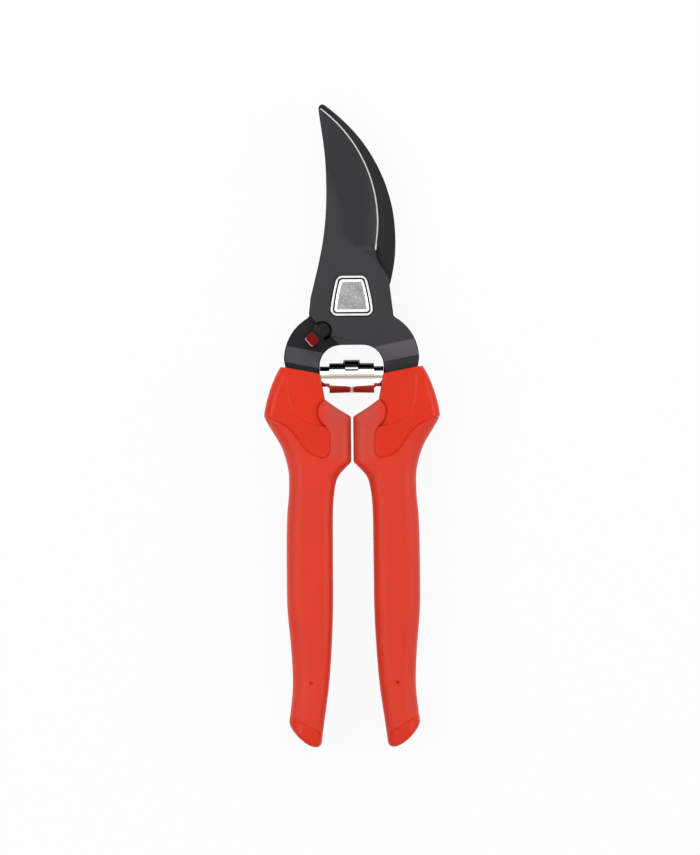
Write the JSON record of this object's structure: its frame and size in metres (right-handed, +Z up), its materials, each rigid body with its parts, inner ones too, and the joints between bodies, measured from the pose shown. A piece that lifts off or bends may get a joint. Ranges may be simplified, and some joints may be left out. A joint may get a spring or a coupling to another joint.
{
  "type": "pruning shears",
  "caption": "Hand pruning shears with a curved bypass blade, a hooked counter blade, a strip spring between two soft-grip handles and a small lock lever.",
  "frame": {"origin": "middle of the tool's length and width, on the surface it lies on, under the backs of the handles", "axes": "+X to the right, +Y along the tool towards the blade's tip, +Z up out of the front face; the tool is closed and lies on its back"},
  "size_m": [0.059, 0.2156, 0.019],
  "materials": {
    "coated_blade_steel": "satin non-stick coating",
    "black_hook_steel": "rough black",
    "zinc_steel": "zinc plated",
    "bearing_bronze": "plain bearing bronze",
    "dark_plastic": "matte",
    "bright_badge": "bright plated",
    "dark_red_plastic": "satin",
    "black_rivet_steel": "black oxide",
    "spring_steel": "bright strip",
    "hard_red_plastic": "gloss",
    "soft_red_grip": "soft matte"
  },
  "bodies": {
    "hook_half": {"hook_blade": "black_hook_steel", "pivot_bush": "bearing_bronze", "left_spring_peg": "zinc_steel", "volute_spring": "spring_steel", "left_handle_core": "hard_red_plastic", "left_grip": "soft_red_grip"},
    "blade_half": {"cutting_blade": "coated_blade_steel", "pivot_bolt": "zinc_steel", "pivot_washer": "zinc_steel", "pivot_nut": "zinc_steel", "badge_carrier": "dark_plastic", "badge_rim": "bright_badge", "badge_plate": "bright_badge", "lock_rivet": "black_rivet_steel", "lock_washer": "spring_steel", "right_spring_peg": "zinc_steel", "right_handle_core": "hard_red_plastic", "right_grip": "soft_red_grip"},
    "lock": {"lock_lever": "dark_red_plastic"}
  },
  "joints": [
    {"name": "main_pivot", "type": "hinge", "parent": "hook_half", "child": "blade_half", "pos_m": [0, 0.04353, 0.0095], "axis": [0, 0, 1], "range_deg": [0, 32], "deforming": ["volute_spring"]},
    {"name": "lock_turn", "type": "hinge", "parent": "blade_half", "child": "lock", "pos_m": [-0.0097, 0.03163, 0.0128], "axis": [0, 0, -1], "range_deg": [0, 40]}
  ]
}
